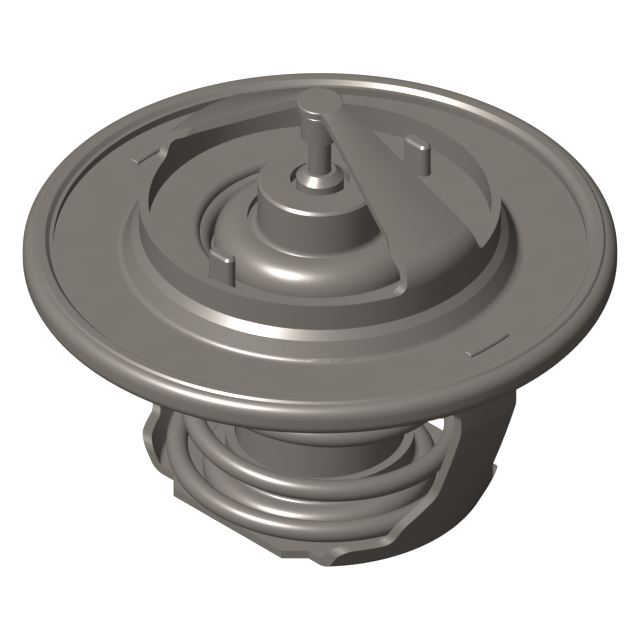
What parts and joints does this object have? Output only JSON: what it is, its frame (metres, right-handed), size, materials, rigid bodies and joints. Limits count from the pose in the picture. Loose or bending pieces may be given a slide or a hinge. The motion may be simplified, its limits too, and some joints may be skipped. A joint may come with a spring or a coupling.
{
  "type": "engine thermostat",
  "caption": "Engine coolant thermostat with a rubber rim seal, a bridge over a sprung wax element and a lower frame.",
  "frame": {"origin": "on the valve's axis, at the middle of the rim seal's thickness", "axes": "+Z along the valve's axis towards the bridge's pad, X through the bridge's arms and the frame's legs"},
  "size_m": [0.067, 0.067, 0.0515],
  "materials": {
    "seal_rubber": "satin",
    "sheet_steel": "satin",
    "turned_metal": "satin",
    "piston_steel": "polished",
    "spring_steel": "satin",
    "wiper_plastic": "matt",
    "boot_rubber": "matt",
    "wax": "matt"
  },
  "bodies": {
    "root": {"rim_seal": "seal_rubber", "flange_plate": "sheet_steel", "bridge": "sheet_steel", "pin_seat": "turned_metal", "piston": "piston_steel", "lower_frame": "sheet_steel", "main_spring": "spring_steel"},
    "element": {"element_guide": "turned_metal", "piston_wiper": "wiper_plastic", "backup_ring": "wiper_plastic", "element_cup": "turned_metal", "wax_boot": "boot_rubber", "wax_charge": "wax", "valve_disc": "sheet_steel"}
  },
  "joints": [
    {"name": "element_slide", "type": "slide", "parent": "root", "child": "element", "axis": [0, 0, -1], "range_m": [0, 0.008], "stiffness_N_per_m": 8000, "springref_m": -0.004, "deforming": ["main_spring"]}
  ]
}
